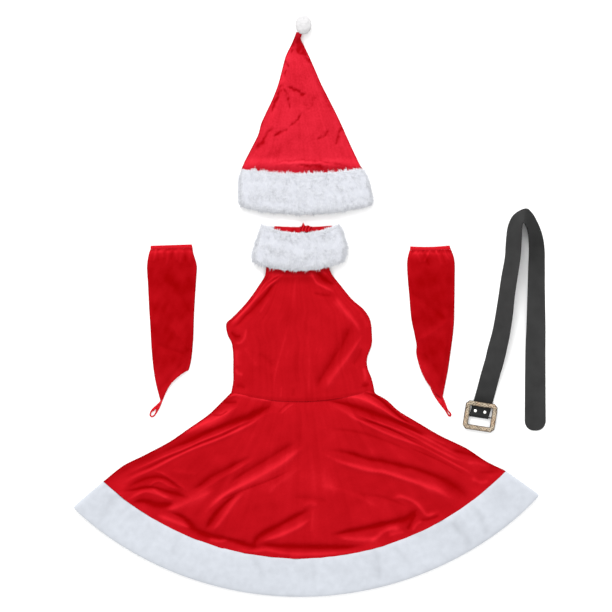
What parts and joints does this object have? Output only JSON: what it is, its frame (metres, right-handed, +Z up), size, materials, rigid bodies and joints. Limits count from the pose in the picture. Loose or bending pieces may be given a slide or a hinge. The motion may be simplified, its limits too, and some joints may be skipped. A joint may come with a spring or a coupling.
{
  "type": "santa dress costume",
  "caption": "Halter Santa dress in red velvet with white plush collar and hem, pointed hat, arm sleeves with finger loops and a buckled belt, laid out flat.",
  "frame": {"origin": "centre of the laid-out set's footprint, on the floor it lies on", "axes": "+X to the picture's right, +Y from the dress's hem towards the hat, +Z up off the floor"},
  "size_m": [0.9886, 1.2172, 0.0326],
  "materials": {
    "velvet": "stretch velvet, soft sheen",
    "crushed_velvet": "crushed velvet, shiny",
    "plush": "white plush",
    "leatherette": "matte grained",
    "nickel": "polished",
    "antique_brass": "cast, antiqued",
    "dark_steel": "blackened"
  },
  "bodies": {
    "costume": {"bodice_front": "velvet", "bodice_back": "velvet", "skirt_front": "velvet", "skirt_back": "velvet", "hem_trim_front": "plush", "hem_trim_back": "plush", "collar_front": "plush", "collar_back": "plush", "neck_lining": "velvet", "neck_closure": "velvet", "hat_front": "crushed_velvet", "hat_back": "crushed_velvet", "brim_front": "plush", "brim_back": "plush", "pompom": "plush", "sleeve_left": "velvet", "sleeve_left_hem": "velvet", "sleeve_left_loop": "velvet", "sleeve_right": "velvet", "sleeve_right_hem": "velvet", "sleeve_right_loop": "velvet", "belt_strap": "leatherette", "rivet_1": "nickel", "rivet_2": "nickel"},
    "buckle": {"buckle_frame": "antique_brass", "buckle_bar": "dark_steel"}
  },
  "joints": [
    {"name": "buckle_tilt", "type": "hinge", "parent": "costume", "child": "buckle", "pos_m": [0.356, -0.2305, 0.00335], "axis": [0.9877, -0.1564, 0], "range_deg": [0, 165]}
  ]
}
